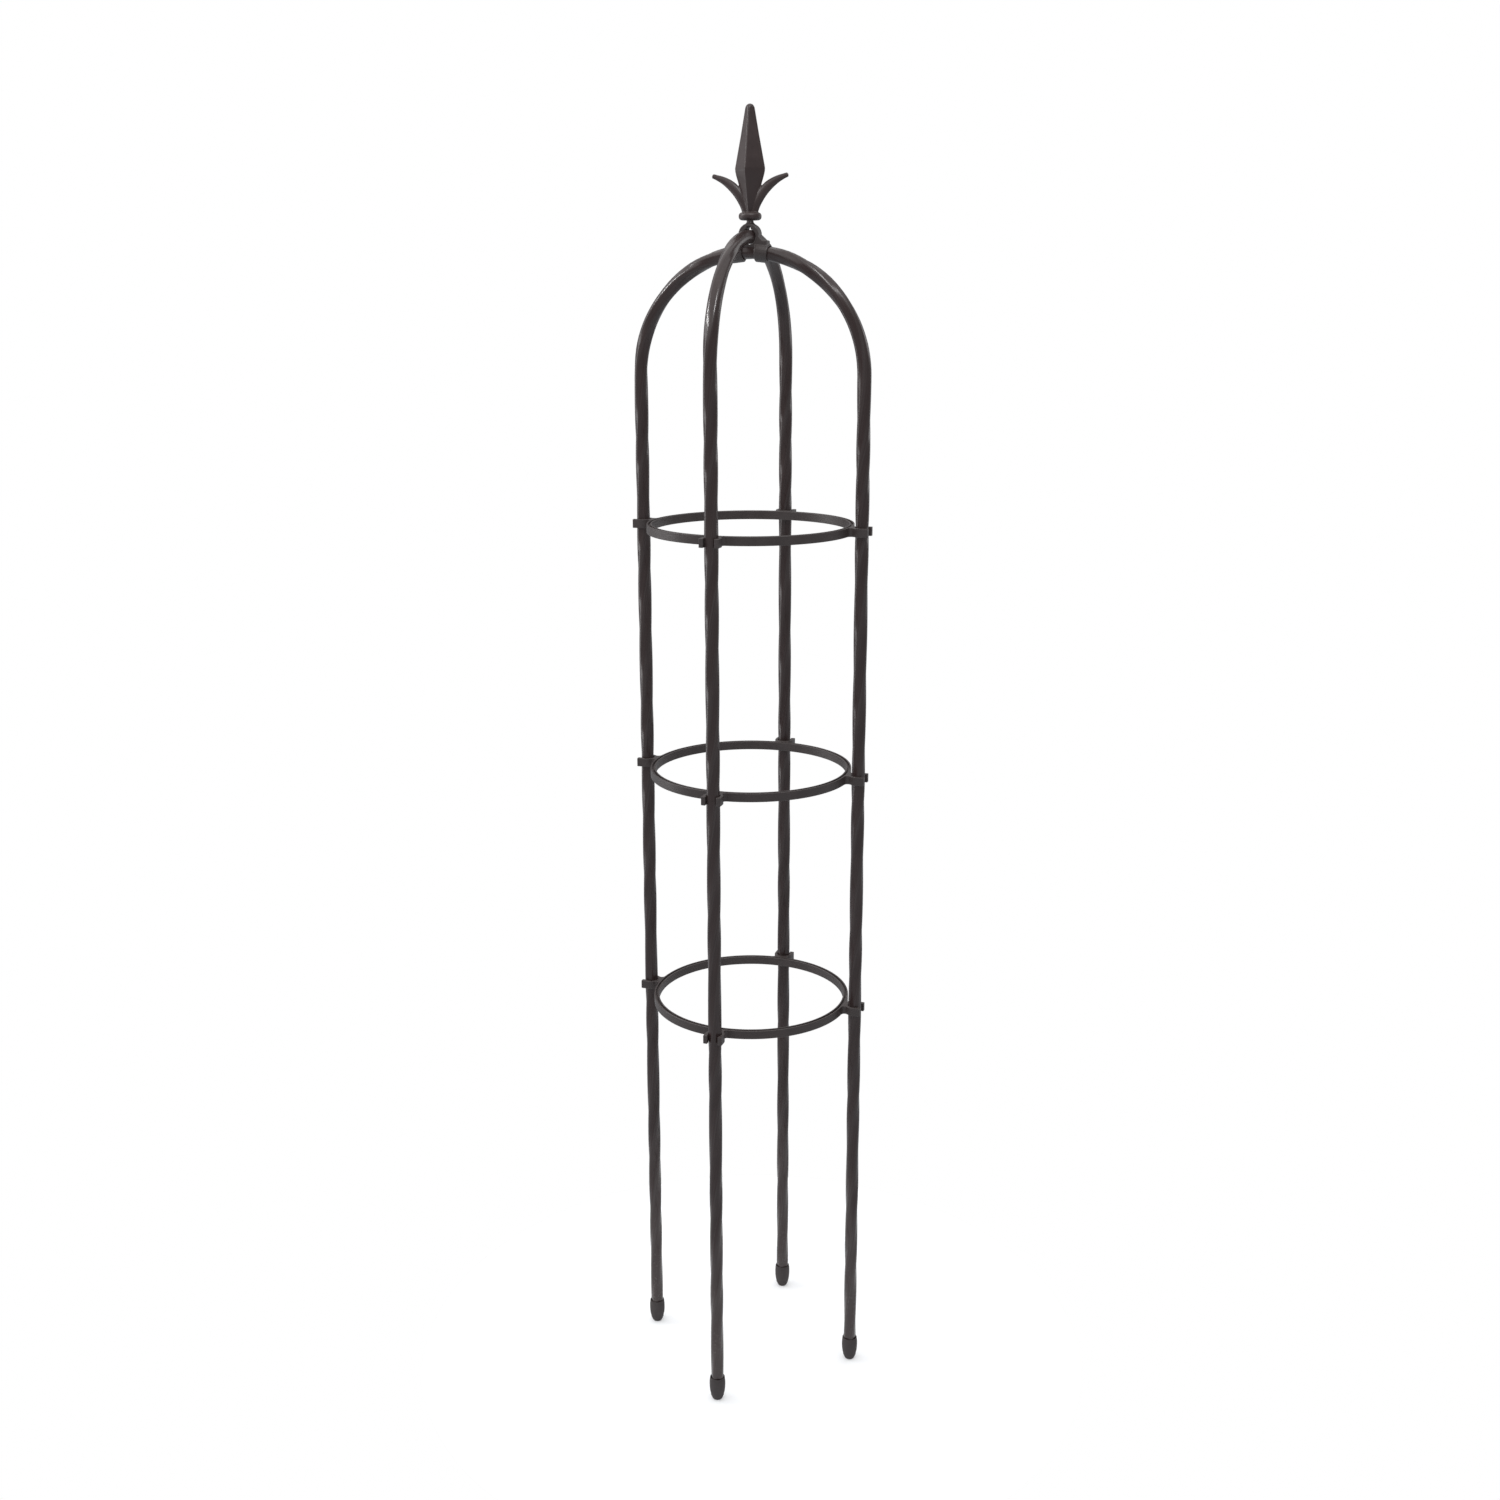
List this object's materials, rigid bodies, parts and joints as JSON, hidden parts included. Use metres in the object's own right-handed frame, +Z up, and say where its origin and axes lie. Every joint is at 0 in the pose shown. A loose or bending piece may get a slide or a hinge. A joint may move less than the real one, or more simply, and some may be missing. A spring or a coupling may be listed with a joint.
{
  "type": "garden obelisk",
  "caption": "Tall round garden obelisk for climbing plants: coated tube poles under crossing arches, rings with clip forks, capped feet and a spear finial with curled leaves.",
  "frame": {"origin": "on the ground at the middle of the four feet, below the finial's tip", "axes": "+Z up; the side arch and the left and right poles lie in the X-Z plane, and the front arch, which crosses above it, in the Y-Z plane with the front pole at -Y"},
  "size_m": [0.3028, 0.3028, 1.6175],
  "materials": {
    "coated_tube": "satin plastic coating with a soft slow twist and fine lengthwise streaks",
    "ring_moulding": "fine moulded satin",
    "bracket_moulding": "fine moulded satin",
    "finial_moulding": "moulded satin with soft edges",
    "cap_rubber": "matte",
    "sleeve_steel": "zinc plated"
  },
  "bodies": {
    "root": {"arch_side": "coated_tube", "arch_front": "coated_tube", "crown_bracket": "bracket_moulding", "finial": "finial_moulding", "ring_bottom": "ring_moulding", "ring_middle": "ring_moulding", "ring_top": "ring_moulding", "leg_right": "coated_tube", "joint_sleeve_right": "sleeve_steel", "end_cap_right": "cap_rubber", "leg_back": "coated_tube", "joint_sleeve_back": "sleeve_steel", "end_cap_back": "cap_rubber", "leg_left": "coated_tube", "joint_sleeve_left": "sleeve_steel", "end_cap_left": "cap_rubber", "leg_front": "coated_tube", "joint_sleeve_front": "sleeve_steel", "end_cap_front": "cap_rubber"}
  },
  "joints": []
}
